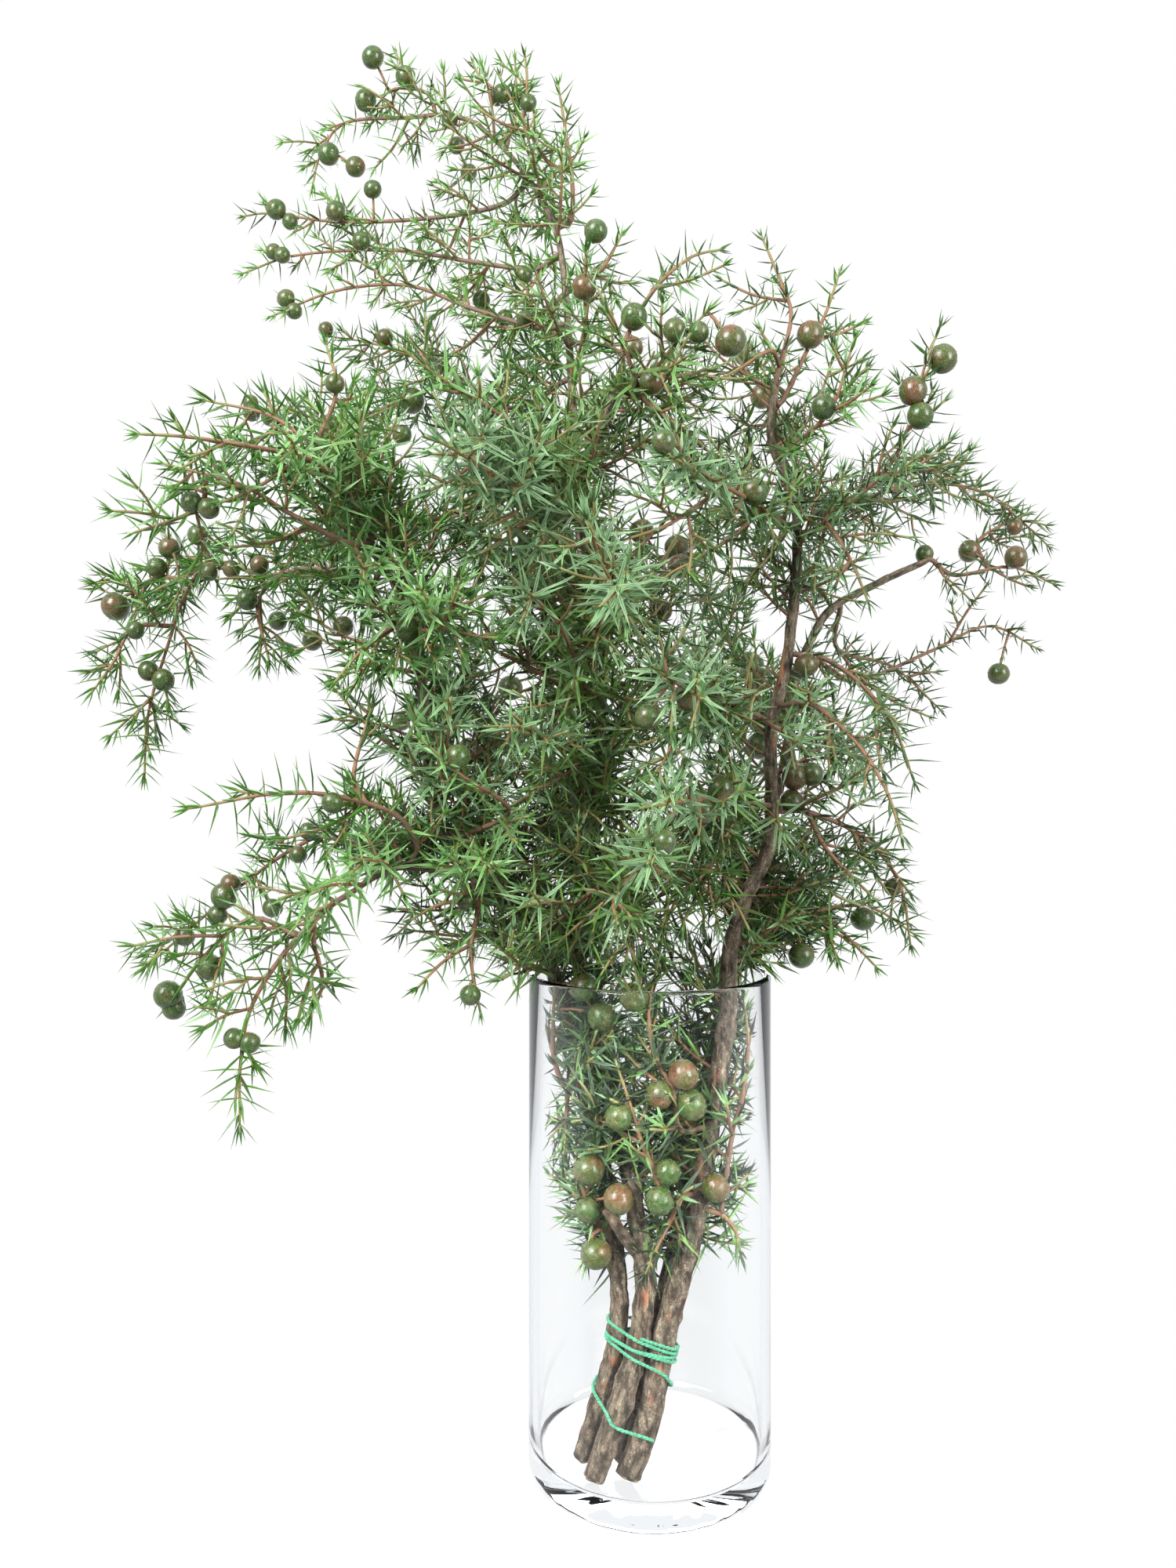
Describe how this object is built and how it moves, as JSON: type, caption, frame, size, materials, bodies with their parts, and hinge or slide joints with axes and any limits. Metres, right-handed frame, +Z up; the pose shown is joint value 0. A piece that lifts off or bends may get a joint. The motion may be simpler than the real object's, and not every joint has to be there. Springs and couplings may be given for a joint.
{
  "type": "juniper branches in a glass vase",
  "caption": "Cut juniper branches with whorled needles and green to red-brown berries, tied with string and standing in a clear glass cylinder vase.",
  "frame": {"origin": "middle of the vase's underside", "axes": "+Z up along the vase's axis, -Y towards the side that the picture shows, +X to its right"},
  "size_m": [0.4788, 0.2916, 0.6467],
  "materials": {
    "glass": "clear, polished",
    "bark": "rough grey-brown bark that flakes lengthwise",
    "foliage": "satin green needles with two pale bands, reddish twigs, matt green to red-brown berries",
    "string": "green plastic-fibre string"
  },
  "bodies": {
    "root": {"vase": "glass", "branch_right": "bark", "branch_back": "bark", "branch_middle": "bark", "branch_left": "bark", "string_tie": "string", "crown_tip": "foliage", "crown_up": "foliage", "crown_side": "foliage", "crown_low_a": "foliage", "crown_low_b": "foliage", "crown_low_c": "foliage", "crown_back": "foliage", "upper_mid_a": "foliage", "upper_mid_b": "foliage", "upper_mid_c": "foliage", "upper_right_a": "foliage", "upper_right_b": "foliage", "upper_right_c": "foliage", "upper_right_back": "foliage", "upper_left_front": "foliage", "upper_left_back": "foliage", "left_top": "foliage", "left_mid": "foliage", "left_long": "foliage", "left_fork": "foliage", "left_drop": "foliage", "left_back": "foliage", "low_left_main": "foliage", "low_left_top": "foliage", "low_left_mid": "foliage", "low_left_drop": "foliage", "right_high": "foliage", "right_long": "foliage", "right_far": "foliage", "right_thin": "foliage", "right_arch": "foliage", "right_arch_front": "foliage", "right_low": "foliage", "right_low_spray": "foliage", "right_back": "foliage", "front_crest": "foliage", "front_left": "foliage", "front_low_left": "foliage", "front_star": "foliage", "front_star_low": "foliage", "front_right": "foliage", "front_right_up": "foliage", "front_high": "foliage", "front_upper_left": "foliage", "rear_right": "foliage", "rear_crest": "foliage", "rear_left": "foliage", "rear_mid": "foliage", "vase_front": "foliage", "vase_front_low": "foliage", "vase_right": "foliage", "vase_left": "foliage", "vase_left_low": "foliage", "vase_back": "foliage"}
  },
  "joints": []
}
